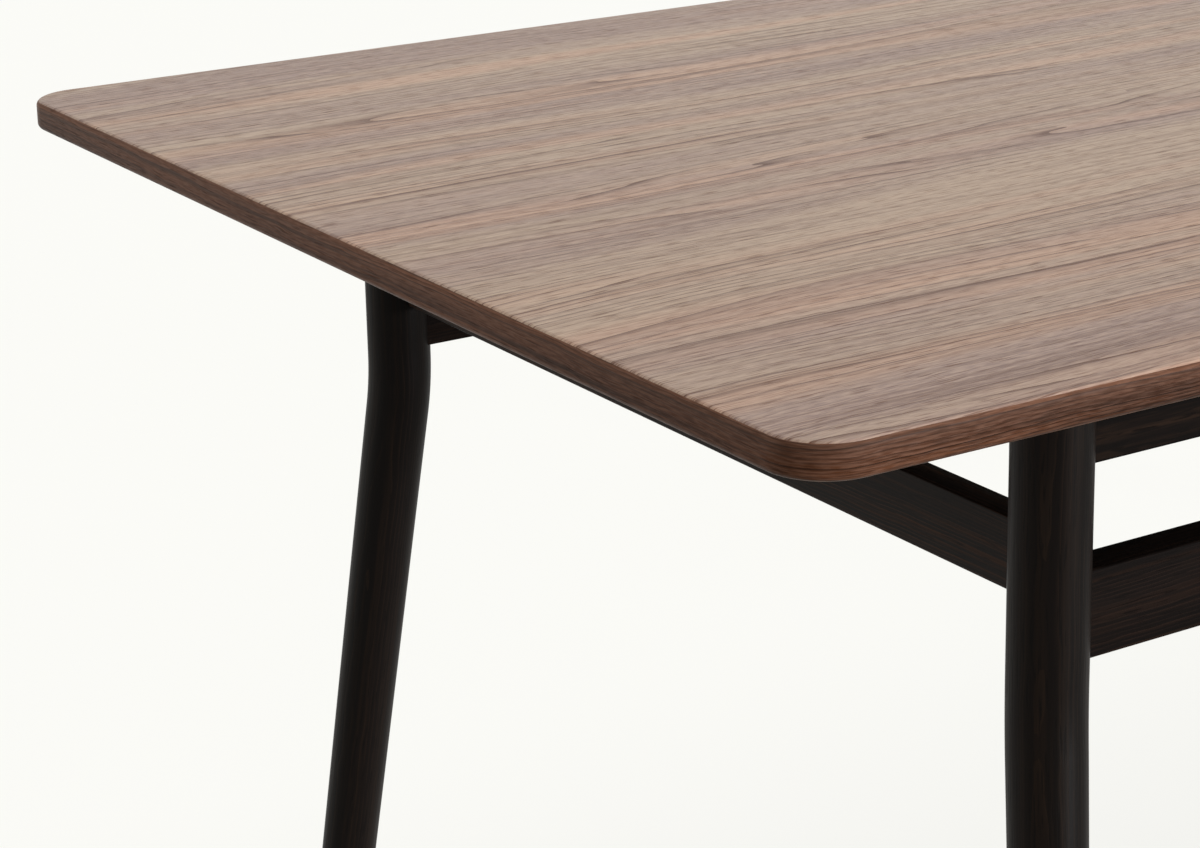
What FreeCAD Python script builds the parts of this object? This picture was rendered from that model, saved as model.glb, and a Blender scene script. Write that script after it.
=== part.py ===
import FreeCAD, Part
import math
import os
import re

import Sketcher

# Dining table with a rounded, veneered top on four round legs that stand straight beside the
# rails and bend outwards below them.
#
# Frame: origin on the floor under the middle of the table, X along the length, Y across,
# Z up, millimetres. Front is -Y, left is -X.

App = FreeCAD
doc = App.newDocument("dining_table")

# ---------------------------------------------------------------- driving dimensions
DIMENSIONS = {
    # tabletop
    "top_length": 2000, "top_width": 950, "top_thickness": 20, "table_height": 750,
    "corner_radius": 35, "arris_radius": 4, "veneer_thickness": 0.8, "lipping_width": 20,
    # legs: a straight part, a bend, and a tapered part that leans outwards
    "leg_inset_end": 236, "leg_inset_side": 105, "leg_diameter": 46, "foot_diameter": 40,
    "flat_offset": 18, "knee_drop": 228, "bend_radius": 260,
    "splay_along": 4.6, "splay_across": 8.25, "foot_chamfer": 1.5,
    # rails: a setout is how far a rail's outer face lies outside the leg's axis
    "apron_height": 66, "apron_thickness": 22,
    "long_setout": 7, "lower_rail_drop": 147, "lower_rail_height": 52,
    "end_setout": 3, "end_rail_drop": 122, "end_rail_height": 43,
    "rail_arris": 1.5,
    # tenons: tenon_offset is how far their middle lies inside the leg's axis
    "tenon_thickness": 10, "tenon_length": 25, "tenon_shoulder": 6, "tenon_offset": 4,
    "joint_gap": 0.15,
    # bearers, let into the aprons under the top
    "bearer_width": 60, "bearer_height": 22, "bearer_leg_gap": 72, "housing_depth": 6,
    # screws up through the bearers into the top
    "screw_diameter": 4.5, "screw_length": 35, "screw_head": 9, "screw_spacing": 480,
    "drill_gap": 0.1,
    # glides nailed into the feet
    "glide_diameter": 28, "glide_height": 4, "glide_edge": 1,
    "glide_pin": 5, "glide_pin_length": 18,
}

sheet = doc.addObject("Spreadsheet::Sheet", "sizes")
for row, (alias, number) in enumerate(DIMENSIONS.items(), start=1):
    sheet.set(f"A{row}", alias)
    sheet.set(f"B{row}", str(number))
    sheet.setAlias(f"B{row}", alias)
doc.recompute()


def dim(text):
    """Point every word that is a cell's alias at the sheet."""
    return re.sub("[a-z_]+", lambda word: "sizes." * (word[0] in DIMENSIONS) + word[0], text)


# levels and places that several pieces share, as expressions of the cells
UNDERSIDE = "(table_height - top_thickness)"
LEG_X = "(top_length / 2 - leg_inset_end)"
LEG_Y = "(top_width / 2 - leg_inset_side)"
APRON_BOTTOM = f"({UNDERSIDE} - apron_height)"
LOWER_TOP = "(table_height - lower_rail_drop)"
LOWER_BOTTOM = f"({LOWER_TOP} - lower_rail_height)"
END_TOP = "(table_height - end_rail_drop)"
END_BOTTOM = f"({END_TOP} - end_rail_height)"
APRON_INNER = f"({LEG_Y} + long_setout - apron_thickness)"
BEARER_X = f"({LEG_X} - flat_offset - bearer_leg_gap)"

# the leg's bend, seen in its own upright plane: out is measured from the straight part's axis
SPLAY = "atan(sqrt(tan(splay_along) ^ 2 + tan(splay_across) ^ 2))"
BEND_TOP = f"(table_height - knee_drop + bend_radius * tan({SPLAY} / 2))"
BEND_END = f"({BEND_TOP} - bend_radius * sin({SPLAY}))"
BEND_OUT = f"(bend_radius * (1 - cos({SPLAY})))"
FOOT_OUT = f"({BEND_OUT} + {BEND_END} * tan({SPLAY}))"
GLIDE_OUT = f"({BEND_OUT} + ({BEND_END} - glide_height) * tan({SPLAY}))"

# where each tenon starts and ends in height: the lower rail's stays under the end rail's
TENON_NEAR = "(tenon_offset - tenon_thickness / 2)"
TENON_FAR = "(tenon_offset + tenon_thickness / 2)"
APRON_TENON = (f"({APRON_BOTTOM} + tenon_shoulder)", f"({UNDERSIDE} - 2 * tenon_shoulder)")
LOWER_TENON = (f"({LOWER_BOTTOM} + tenon_shoulder)",
               f"min({END_BOTTOM} ; {LOWER_TOP} - tenon_shoulder)")
END_TENON = (f"({END_BOTTOM} + tenon_shoulder)", f"({END_TOP} - tenon_shoulder)")


# lengths under this count as nothing when an edge's direction or level is tested, in mm
SLACK = 1e-4


# ---------------------------------------------------------------- helpers
def bind(thing, prop, text):
    """Tie one property of an object to the sheet."""
    thing.setExpression(prop, dim(text))


def new_body(label, many=False):
    """A body; many lets it hold several separate solids."""
    body = doc.addObject("PartDesign::Body", label)
    body.Label = label
    body.AllowCompound = many
    return body


def new_sketch(body, name, role="XY_Plane", offset=(), turn=None):
    """A sketch on an origin plane of its body.

    offset holds (axis letter, expression) pairs in the plane's own axes, and turn is
    (axis letter, expression in degrees).
    """
    sketch = body.newObject("Sketcher::SketchObject", f"{body.Label}_{name}")
    plane = next(item for item in body.Origin.OriginFeatures if item.Role == role)
    sketch.AttachmentSupport = [(plane, "")]
    sketch.MapMode = "FlatFace"
    if turn:
        axis = App.Vector(*(float(letter == turn[0]) for letter in "xyz"))
        sketch.AttachmentOffset = App.Placement(App.Vector(), App.Rotation(axis, 1))
        bind(sketch, "AttachmentOffset.Rotation.Angle", turn[1])
    for letter, text in offset:
        bind(sketch, f"AttachmentOffset.Base.{letter}", text)
    return sketch


def fix_point(sketch, geometry, point, x_text, y_text):
    """Hold a point of the sketch at a bound place, measured from the sketch's origin."""
    for kind, text in (("DistanceX", x_text), ("DistanceY", y_text)):
        index = sketch.addConstraint(Sketcher.Constraint(kind, -1, 1, geometry, point, 1.0))
        bind(sketch, f"Constraints[{index}]", text)


def outline(sketch, points):
    """A closed outline of straight sides through bound points."""
    first = sketch.GeometryCount
    turns = [2 * math.pi * i / len(points) for i in range(len(points))]
    rough = [App.Vector(10 * math.cos(turn), 10 * math.sin(turn), 0) for turn in turns]
    for start, end in zip(rough, rough[1:] + rough[:1]):
        sketch.addGeometry(Part.LineSegment(start, end))
    for i, (x_text, y_text) in enumerate(points):
        following = first + (i + 1) % len(points)
        sketch.addConstraint(Sketcher.Constraint("Coincident", first + i, 2, following, 1))
        fix_point(sketch, first + i, 1, x_text, y_text)


def rectangle(sketch, x_low, x_high, y_low, y_high):
    outline(sketch, [(x_low, y_low), (x_high, y_low), (x_high, y_high), (x_low, y_high)])


def circle(sketch, x_text, y_text, diameter):
    index = sketch.addGeometry(Part.Circle(App.Vector(1, 1, 0), App.Vector(0, 0, 1), 2))
    fix_point(sketch, index, 3, x_text, y_text)
    constraint = sketch.addConstraint(Sketcher.Constraint("Diameter", index, 4.0))
    bind(sketch, f"Constraints[{constraint}]", diameter)


def pad(body, sketch, length, both_ways=False):
    feature = body.newObject("PartDesign::Pad", f"{sketch.Name}_pad")
    feature.Profile = sketch
    feature.Midplane = both_ways
    bind(feature, "Length", length)
    return feature


def pocket(body, sketch, depth, up=False):
    """Cut from the sketch's plane against its normal, and make sure that material went."""
    doc.recompute()
    before = body.Shape.Volume
    feature = body.newObject("PartDesign::Pocket", f"{sketch.Name}_pocket")
    feature.Profile = sketch
    feature.Reversed = up
    bind(feature, "Length", depth)
    doc.recompute()
    if not body.Shape.Volume < before:
        raise RuntimeError(f"{feature.Name} cuts nothing")
    return feature


def soften(body, feature, wanted, size, kind="Fillet"):
    """Round or chamfer the edges of a feature that pass the test."""
    doc.recompute()
    edges = enumerate(feature.Shape.Edges, start=1)
    dressing = body.newObject(f"PartDesign::{kind}", f"{feature.Name}_{kind.lower()}")
    dressing.Base = (feature, [f"Edge{number}" for number, edge in edges if wanted(edge)])
    bind(dressing, "Radius" if kind == "Fillet" else "Size", size)
    return dressing


def runs_along(letter):
    """A test for straight edges parallel to an axis."""
    others = [side for side in "XYZ" if side != letter]

    def wanted(edge):
        box = edge.BoundBox
        return (getattr(box, f"{letter}Length") > 1
                and all(getattr(box, f"{side}Length") < SLACK for side in others))
    return wanted


def lies_at(height):
    """A test for edges that lie level at a height."""
    return lambda edge: edge.BoundBox.ZLength < SLACK and abs(edge.BoundBox.ZMin - height) < SLACK


def half_turn(body, wanted):
    """Stand a body on the other side of the table, turned about the middle."""
    body.Placement = App.Placement(App.Vector(), App.Rotation(App.Vector(0, 0, 1),
                                                              180 if wanted else 0))


# ---------------------------------------------------------------- tabletop
def make_blank():
    """The whole top as one slab with round corners and softened arrises."""
    body = new_body("top_blank")
    sketch = new_sketch(body, "plan", offset=[("z", UNDERSIDE)])
    rectangle(sketch, "-top_length / 2", "top_length / 2", "-top_width / 2", "top_width / 2")
    slab = pad(body, sketch, "top_thickness")
    corners = soften(body, slab, runs_along("Z"), "corner_radius")
    doc.recompute()
    box = corners.Shape.BoundBox
    on_faces = [lies_at(box.ZMin), lies_at(box.ZMax)]
    soften(body, corners, lambda edge: any(test(edge) for test in on_faces), "arris_radius")
    return body


def make_drilling():
    """The pilot holes that the bearer screws need in the underside of the top."""
    body = new_body("top_drilling", many=True)
    sketch = new_sketch(body, "screws", offset=[("z", UNDERSIDE)])
    for x_text, y_text in SCREW_PLACES:
        circle(sketch, x_text, y_text, "screw_diameter + drill_gap")
    pad(body, sketch, "screw_length - bearer_height + joint_gap")
    return body


def slab_between(label, low, height):
    """A box as large as the top, to slice the blank with."""
    box = doc.addObject("Part::Box", label)
    bind(box, "Length", "top_length")
    bind(box, "Width", "top_width")
    bind(box, "Height", height)
    bind(box, "Placement.Base.x", "-top_length / 2")
    bind(box, "Placement.Base.y", "-top_width / 2")
    bind(box, "Placement.Base.z", low)
    return box


def combine(kind, label, first, second):
    """A boolean of two objects: Common or Cut."""
    result = doc.addObject(f"Part::{kind}", label)
    result.Label = label
    if kind == "Cut":
        result.Base, result.Tool = first, second
    else:
        result.Shapes = [first, second]
    return result


CORE_LOW = f"({UNDERSIDE} + veneer_thickness)"
CORE_HEIGHT = "(top_thickness - 2 * veneer_thickness)"
CORE_X = "(top_length / 2 - lipping_width)"
CORE_Y = "(top_width / 2 - lipping_width)"

# plan outlines of the four mitred edge lippings
LIPPINGS = {
    "front": [("-top_length / 2", "-top_width / 2"), ("top_length / 2", "-top_width / 2"),
              (CORE_X, f"-{CORE_Y}"), (f"-{CORE_X}", f"-{CORE_Y}")],
    "right": [("top_length / 2", "-top_width / 2"), ("top_length / 2", "top_width / 2"),
              (CORE_X, CORE_Y), (CORE_X, f"-{CORE_Y}")],
    "back": [("top_length / 2", "top_width / 2"), ("-top_length / 2", "top_width / 2"),
             (f"-{CORE_X}", CORE_Y), (CORE_X, CORE_Y)],
    "left": [("-top_length / 2", "top_width / 2"), ("-top_length / 2", "-top_width / 2"),
             (f"-{CORE_X}", f"-{CORE_Y}"), (f"-{CORE_X}", CORE_Y)],
}

BEARERS = {"left": f"-{BEARER_X}", "middle": "0", "right": BEARER_X}
SCREW_Y = ("-screw_spacing / 2", "screw_spacing / 2")
SCREW_PLACES = [(x_text, y_text) for x_text in BEARERS.values() for y_text in SCREW_Y]


def make_top():
    """Core board, four mitred lippings, and a veneer on each face that runs over both."""
    blank = make_blank()
    drilling = make_drilling()

    board = new_body("core_board")
    sketch = new_sketch(board, "plan", offset=[("z", CORE_LOW)])
    rectangle(sketch, f"-{CORE_X}", CORE_X, f"-{CORE_Y}", CORE_Y)
    pad(board, sketch, CORE_HEIGHT)
    pieces = [combine("Cut", "top_core_board", board, drilling)]

    for side, points in LIPPINGS.items():
        wedge = new_body(f"lipping_blank_{side}")
        sketch = new_sketch(wedge, "plan", offset=[("z", CORE_LOW)])
        outline(sketch, points)
        pad(wedge, sketch, CORE_HEIGHT)
        pieces.append(combine("MultiCommon", f"edge_lipping_{side}", blank, wedge))

    face = slab_between("face_slice", "table_height - veneer_thickness", "veneer_thickness")
    pieces.append(combine("MultiCommon", "top_face_veneer", blank, face))
    back = slab_between("back_slice", UNDERSIDE, "veneer_thickness")
    undrilled = combine("MultiCommon", "back_veneer_undrilled", blank, back)
    pieces.append(combine("Cut", "top_back_veneer", undrilled, drilling))
    return pieces


# ---------------------------------------------------------------- legs
def lean_of(side_x, side_y):
    """The way that a leg leans, as an expression for its angle from X."""
    return f"atan2({side_y} * tan(splay_across) ; {side_x} * tan(splay_along))"


def make_leg(label, side_x, side_y):
    """A round leg: straight beside the rails, bent below them, tapered to the foot.

    The body's own X points the way the leg leans, so the bend lies in its XZ plane. Sketches
    of what lines up with the rails are turned back by the same angle.
    """
    body = new_body(label)
    square = ("z", f"-({lean_of(side_x, side_y)})")

    sketch = new_sketch(body, "straight", offset=[("z", BEND_TOP)])
    circle(sketch, "0", "0", "leg_diameter")
    pad(body, sketch, f"{UNDERSIDE} - {BEND_TOP}")

    # the bend is the leg's section carried round a level axis on the side it leans to
    sketch = new_sketch(body, "bend", offset=[("x", "bend_radius"), ("z", BEND_TOP)])
    circle(sketch, "-bend_radius", "0", "leg_diameter")
    bend = body.newObject("PartDesign::Revolution", f"{label}_bend_turn")
    bend.Profile = sketch
    bend.ReferenceAxis = (sketch, ["V_Axis"])
    bend.Reversed = True
    bind(bend, "Angle", SPLAY)

    # the tapered part is turned about its own leaning axis, drawn as a construction line
    sketch = new_sketch(body, "taper", role="XZ_Plane")
    ends = ((BEND_OUT, BEND_END, "leg_diameter"), (FOOT_OUT, "0", "foot_diameter"))
    inner = [(out, height) for out, height, diameter in ends]
    outer = [(f"{out} + {diameter} / 2 * cos({SPLAY})",
              f"{height} + {diameter} / 2 * sin({SPLAY})") for out, height, diameter in ends]
    outline(sketch, [inner[0], outer[0], outer[1], inner[1]])
    axis = sketch.addGeometry(Part.LineSegment(App.Vector(0, 9, 0), App.Vector(0, 0, 0)), True)
    fix_point(sketch, axis, 1, *inner[0])
    fix_point(sketch, axis, 2, *inner[1])
    taper = body.newObject("PartDesign::Revolution", f"{label}_taper_turn")
    taper.Profile = sketch
    taper.ReferenceAxis = (sketch, ["Axis0"])
    taper.Angle = 360

    # the foot is cut level, where the glide sits under it
    sketch = new_sketch(body, "foot_cut", offset=[("z", "glide_height")])
    rectangle(sketch, f"{FOOT_OUT} - leg_diameter", f"{FOOT_OUT} + leg_diameter",
              "-leg_diameter", "leg_diameter")
    pocket(body, sketch, "glide_height + foot_diameter")

    # two flats face the rails, from the top of the leg to the bottom of the lower rail
    sketch = new_sketch(body, "flats", offset=[("z", UNDERSIDE)], turn=square)
    inner = "leg_diameter"
    rectangle(sketch, f"-({side_x}) * flat_offset", f"-({side_x}) * {inner}",
              f"-{inner}", inner)
    pocket(body, sketch, f"{UNDERSIDE} - {LOWER_BOTTOM}")
    sketch = new_sketch(body, "cross_flats", offset=[("z", UNDERSIDE)], turn=square)
    rectangle(sketch, f"-{inner}", inner,
              f"-({side_y}) * flat_offset", f"-({side_y}) * {inner}")
    pocket(body, sketch, f"{UNDERSIDE} - {LOWER_BOTTOM}")

    # mortises, entered through the flats
    deep = "(flat_offset - tenon_length - joint_gap)"
    near, far = f"({TENON_NEAR} - joint_gap)", f"({TENON_FAR} + joint_gap)"
    cuts = (("apron_mortise", APRON_TENON, (deep, inner), (near, far)),
            ("lower_mortise", LOWER_TENON, (deep, inner), (near, far)),
            ("end_mortise", END_TENON, (near, far), (deep, inner)))
    for name, (low, high), along, across in cuts:
        sketch = new_sketch(body, name, offset=[("z", f"{high} + joint_gap")], turn=square)
        rectangle(sketch, f"-({side_x}) * {along[0]}", f"-({side_x}) * {along[1]}",
                  f"-({side_y}) * {across[0]}", f"-({side_y}) * {across[1]}")
        pocket(body, sketch, f"{high} - {low} + 2 * joint_gap")

    sketch = new_sketch(body, "glide_hole", offset=[("z", "glide_height")])
    circle(sketch, GLIDE_OUT, "0", "glide_pin + drill_gap")
    last = pocket(body, sketch, "glide_pin_length + joint_gap", up=True)

    foot_level = sheet.get("glide_height")
    outer_edge = lies_at(foot_level)
    widest = sheet.get("glide_pin") * 2
    soften(body, last, lambda edge: outer_edge(edge) and edge.BoundBox.XLength > widest,
           "foot_chamfer", kind="Chamfer")
    stand_leg(body, side_x, side_y)
    return body


def stand_leg(body, side_x, side_y):
    """Stand a body on a leg's axis, its own X turned to the side that the leg leans to."""
    body.Placement = App.Placement(App.Vector(), App.Rotation(App.Vector(0, 0, 1), 1))
    bind(body, "Placement.Base.x", f"({side_x}) * {LEG_X}")
    bind(body, "Placement.Base.y", f"({side_y}) * {LEG_Y}")
    bind(body, "Placement.Rotation.Angle", lean_of(side_x, side_y))


def make_glide(side_x, side_y):
    """A glide: a disc with a bevelled rim under the foot, and a pin up into it."""
    body = new_body(f"glide_{side_x + 1}_{side_y + 1}")
    sketch = new_sketch(body, "disc")
    circle(sketch, GLIDE_OUT, "0", "glide_diameter")
    disc = pad(body, sketch, "glide_height")
    soften(body, disc, lies_at(0), "glide_edge", kind="Chamfer")
    sketch = new_sketch(body, "pin", offset=[("z", "glide_height")])
    circle(sketch, GLIDE_OUT, "0", "glide_pin")
    pad(body, sketch, "glide_pin_length")
    stand_leg(body, side_x, side_y)
    return body


# ---------------------------------------------------------------- rails
def make_rail(label, role, across, height, half_length, tenon, turned):
    """A rail between two legs: a bar with softened arrises and a tenon at each end.

    across holds the bar's two faces and half_length its shoulders, in the axes of the sketch.
    """
    body = new_body(label)
    sketch = new_sketch(body, "section", role=role)
    rectangle(sketch, *across, *height)
    bar = pad(body, sketch, f"2 * {half_length}", both_ways=True)
    soften(body, bar, runs_along("X" if role == "YZ_Plane" else "Y"), "rail_arris")
    sketch = new_sketch(body, "tenon", role=role)
    rectangle(sketch, *tenon)
    pad(body, sketch, f"2 * ({half_length} + tenon_length)", both_ways=True)
    half_turn(body, turned)
    return body


def make_long_rail(label, setout, thickness, height, tenon_height, turned):
    face = f"-({LEG_Y} + {setout})"
    tenon = (f"-({LEG_Y} - {TENON_NEAR})", f"-({LEG_Y} - {TENON_FAR})", *tenon_height)
    return make_rail(label, "YZ_Plane", (face, f"{face} + {thickness}"), height,
                     f"({LEG_X} - flat_offset)", tenon, turned)


def make_end_rail(label, turned):
    face = f"-({LEG_X} + end_setout)"
    tenon = (f"-({LEG_X} - {TENON_NEAR})", f"-({LEG_X} - {TENON_FAR})", *END_TENON)
    return make_rail(label, "XZ_Plane", (face, f"-({LEG_X} - flat_offset)"),
                     (END_BOTTOM, END_TOP), f"({LEG_Y} - flat_offset)", tenon, turned)


def make_apron(label, turned):
    """A long apron under the top, with a housing for the end of each bearer."""
    body = make_long_rail(label, "long_setout", "apron_thickness", (APRON_BOTTOM, UNDERSIDE),
                          APRON_TENON, turned)
    sketch = new_sketch(body, "housings", offset=[("z", UNDERSIDE)])
    for centre in BEARERS.values():
        rectangle(sketch, f"{centre} - bearer_width / 2 - joint_gap",
                  f"{centre} + bearer_width / 2 + joint_gap",
                  f"-({APRON_INNER} + housing_depth)", f"-({APRON_INNER} - housing_depth)")
    pocket(body, sketch, "bearer_height + joint_gap")
    return body


# ---------------------------------------------------------------- what holds the top
def make_bearer(label, centre):
    """A cross bearer under the top, with countersunk holes for its screws."""
    body = new_body(label)
    sketch = new_sketch(body, "section", role="XZ_Plane")
    rectangle(sketch, f"{centre} - bearer_width / 2", f"{centre} + bearer_width / 2",
              f"{UNDERSIDE} - bearer_height", UNDERSIDE)
    bar = pad(body, sketch, f"2 * ({APRON_INNER} + housing_depth - joint_gap)", both_ways=True)
    doc.recompute()
    bottom = bar.Shape.BoundBox.ZMin
    along = runs_along("Y")
    soften(body, bar, lambda edge: along(edge) and edge.BoundBox.ZMin < bottom + 1, "rail_arris")
    sketch = new_sketch(body, "screw_places", offset=[("z", f"{UNDERSIDE} - bearer_height")])
    for y_text in SCREW_Y:
        circle(sketch, centre, y_text, "screw_diameter + drill_gap")
    doc.recompute()
    before = body.Shape.Volume
    hole = body.newObject("PartDesign::Hole", f"{label}_screw_holes")
    hole.Profile = sketch
    doc.recompute()
    hole.Reversed = True
    hole.DepthType = "ThroughAll"
    hole.ThreadType = "None"
    bind(hole, "Diameter", "screw_diameter + drill_gap")
    hole.HoleCutType = "Countersink"
    hole.HoleCutCustomValues = True
    bind(hole, "HoleCutDiameter", "screw_head + 2 * drill_gap")
    hole.HoleCutCountersinkAngle = 90
    doc.recompute()
    if not body.Shape.Volume < before:
        raise RuntimeError(f"{hole.Name} cuts nothing")
    return body


def make_bearer_screws():
    """Countersunk screws through the bearers into the core board."""
    body = new_body("bearer_screws", many=True)
    level = f"{UNDERSIDE} - bearer_height"
    sketch = new_sketch(body, "heads", offset=[("z", level)])
    for x_text, y_text in SCREW_PLACES:
        circle(sketch, x_text, y_text, "screw_head")
    head = pad(body, sketch, "(screw_head - screw_diameter) / 2")
    head.TaperAngle = -45
    sketch = new_sketch(body, "shanks", offset=[("z", level)])
    for x_text, y_text in SCREW_PLACES:
        circle(sketch, x_text, y_text, "screw_diameter")
    pad(body, sketch, "screw_length")
    return body


# ---------------------------------------------------------------- the table
pieces = make_top()
glides = doc.addObject("Part::Compound", "foot_glides")
for end, side_x in (("left", -1), ("right", 1)):
    for edge_side, side_y in (("front", -1), ("back", 1)):
        pieces.append(make_leg(f"leg_{end}_{edge_side}", side_x, side_y))
        glides.Links += [make_glide(side_x, side_y)]
pieces.append(glides)
for edge_side, turned in (("front", False), ("back", True)):
    pieces.append(make_apron(f"long_apron_{edge_side}", turned))
    pieces.append(make_long_rail(f"lower_rail_{edge_side}", "long_setout",
                                 "(flat_offset + long_setout)", (LOWER_BOTTOM, LOWER_TOP),
                                 LOWER_TENON, turned))
for end, turned in (("left", False), ("right", True)):
    pieces.append(make_end_rail(f"end_rail_{end}", turned))
for place, centre in BEARERS.items():
    pieces.append(make_bearer(f"bearer_{place}", centre))
pieces.append(make_bearer_screws())
doc.recompute()

faults = [f"{thing.Label}: {thing.State}" for thing in doc.Objects
          if "Invalid" in thing.State or "Error" in thing.State]
faults += [f"{piece.Label}: bad shape" for piece in pieces
           if piece.Shape.isNull() or not piece.Shape.isValid()]
if faults:
    raise RuntimeError("; ".join(faults))

os.makedirs("parts", exist_ok=True)
for piece in pieces:
    piece.Shape.exportStep(f"parts/{piece.Label}.step")
    box = piece.Shape.BoundBox
    print(f"{piece.Label}: {len(piece.Shape.Solids)} solid(s), "
          f"{piece.Shape.Volume / 1000:.1f} cm3, z {box.ZMin:.1f} to {box.ZMax:.1f}")
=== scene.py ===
# %% [markdown]
# # A dining table in walnut and black-brown stained wood
#
# The imported model is loaded first, because it is the frame that everything else is built
# around. Its box is kept, because the sizes below are read from it.

# %% Load the frame
import math

import bpy
import numpy as np
from mathutils import Matrix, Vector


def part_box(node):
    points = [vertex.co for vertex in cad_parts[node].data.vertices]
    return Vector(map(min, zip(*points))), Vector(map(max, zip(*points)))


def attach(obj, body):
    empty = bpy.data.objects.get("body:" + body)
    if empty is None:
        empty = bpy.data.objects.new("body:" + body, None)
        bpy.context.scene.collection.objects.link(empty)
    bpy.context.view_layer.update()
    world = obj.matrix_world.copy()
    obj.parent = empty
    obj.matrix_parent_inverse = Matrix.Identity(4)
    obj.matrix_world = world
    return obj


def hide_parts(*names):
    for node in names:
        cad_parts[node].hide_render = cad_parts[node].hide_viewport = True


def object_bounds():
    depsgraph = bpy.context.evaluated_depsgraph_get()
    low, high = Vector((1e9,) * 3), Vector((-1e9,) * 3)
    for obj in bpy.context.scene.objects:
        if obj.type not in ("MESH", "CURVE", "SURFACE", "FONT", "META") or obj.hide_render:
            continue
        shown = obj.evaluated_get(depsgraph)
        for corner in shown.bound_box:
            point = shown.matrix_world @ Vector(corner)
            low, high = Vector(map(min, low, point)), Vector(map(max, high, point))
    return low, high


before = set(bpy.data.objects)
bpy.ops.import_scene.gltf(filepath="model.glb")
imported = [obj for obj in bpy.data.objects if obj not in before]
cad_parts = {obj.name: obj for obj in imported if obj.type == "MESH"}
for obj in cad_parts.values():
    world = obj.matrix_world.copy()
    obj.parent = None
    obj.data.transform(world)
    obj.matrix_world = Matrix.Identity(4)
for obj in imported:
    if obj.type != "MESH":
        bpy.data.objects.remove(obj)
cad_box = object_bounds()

print("nodes in the frame:", len(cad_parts))

# %% [markdown]
# ## Sizes
#
# What the frame can tell is read from it: the top's outline, and where each rail lies. What a
# box can't tell, such as a radius or an angle, is written here once, in metres and degrees. The
# outer face of a rail stands out past the middle of its legs by a known amount, so the rails'
# boxes also give the places of the legs.

# %% Sizes
HALF_LENGTH, HALF_WIDTH, TOP_LEVEL = np.array(cad_box[1])
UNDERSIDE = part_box("top_back_veneer")[0].z
FACE_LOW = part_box("top_core_board")[1].z
BACK_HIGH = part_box("top_core_board")[0].z
CORE_X, CORE_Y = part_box("top_core_board")[1].xy
CORNER_RADIUS = 0.035
ARRIS_RADIUS = 0.004

END_RAIL_OUT = 0.003
LOWER_RAIL_OUT = 0.007
LEG_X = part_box("end_rail_right")[1].x - END_RAIL_OUT
LEG_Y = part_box("lower_rail_back")[1].y - LOWER_RAIL_OUT
LEG_RADIUS = 0.023
FOOT_RADIUS = 0.020
KNEE_LEVEL = 0.522
BEND_RADIUS = 0.260
SPLAY_ALONG = math.radians(4.6)
SPLAY_ACROSS = math.radians(8.25)
FOOT_LEVEL = 0.004
FOOT_CHAMFER = 0.0015

print("top", 2 * HALF_LENGTH, "by", 2 * HALF_WIDTH, "and legs at", LEG_X, LEG_Y)

# %% [markdown]
# ## Surfaces from arrays
#
# Every new piece is a grid of points, worked out as one numpy array: rows run along the piece
# and columns run round it. One helper turns such a grid into a closed mesh: neighbouring rows
# are joined by quads, the last column is joined to the first, and a flat face closes each end.
#
# Wood needs to know which way its grain runs, also where the piece bends. So each point also
# carries its place in the plank it was cut from, as an attribute called grain, with the fibres
# along X. The materials read that instead of the place in the room.

# %% The mesh helper
def closed_mesh(name, grid, grain, crease=35):
    """A closed mesh from a grid of rows by columns by 3, each row a closed ring.

    Quad (i, j) joins the points (i, j), (i, j+1), (i+1, j+1) and (i+1, j), and the column
    after the last is the first again. A polygon through the first ring, turned over, and one
    through the last ring close the ends. Edges sharper than crease degrees stay crisp.
    """
    rows, columns = grid.shape[:2]
    index = np.arange(rows * columns).reshape(rows, columns)
    following = np.roll(index, -1, axis=1)
    quads = np.stack([index[:-1], following[:-1], following[1:], index[1:]], axis=-1)
    faces = quads.reshape(-1, 4).tolist() + [index[0, ::-1].tolist(), index[-1].tolist()]
    mesh = bpy.data.meshes.new(name)
    mesh.from_pydata(grid.reshape(-1, 3).tolist(), [], faces)
    mesh.polygons.foreach_set("use_smooth", np.ones(len(faces), bool))
    mesh.set_sharp_from_angle(angle=math.radians(crease))
    field = mesh.attributes.new("grain", "FLOAT_VECTOR", "POINT")
    field.data.foreach_set("vector", grain.reshape(-1).astype(np.float32))
    mesh.update()
    piece = bpy.data.objects.new(name, mesh)
    bpy.context.scene.collection.objects.link(piece)
    return piece


def settle(piece, node, material):
    """Let a finished piece ride on the frame in place of a node and material."""
    piece.data.materials.append(material)
    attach(piece, "root")
    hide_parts(node)
    print(f"{piece.name}: {len(piece.data.polygons)} faces")


# %% [markdown]
# ## Shader groups for wood
#
# Both woods show the same things at different strengths: broad bands of colour, long thin
# streaks that wander a little, and short dark pores. A group works these out once, as masks
# from noise that is stretched along the grain, and each material then colours them in its own
# way. Noise is stretched by multiplying the coordinates, which gives the number of features in
# a metre: few along the grain makes a feature long, and many across it makes it thin.

# %% Node helpers
def new_group(name, inputs, outputs):
    """An empty shader group with float or vector inputs and float outputs."""
    group = bpy.data.node_groups.new(name, "ShaderNodeTree")
    for label, kind, value in inputs:
        socket = group.interface.new_socket(label, in_out="INPUT", socket_type=kind)
        if value is not None:
            socket.default_value = value
    for label, kind in outputs:
        group.interface.new_socket(label, in_out="OUTPUT", socket_type=kind)
    return group, group.nodes.new("NodeGroupInput"), group.nodes.new("NodeGroupOutput")


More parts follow.
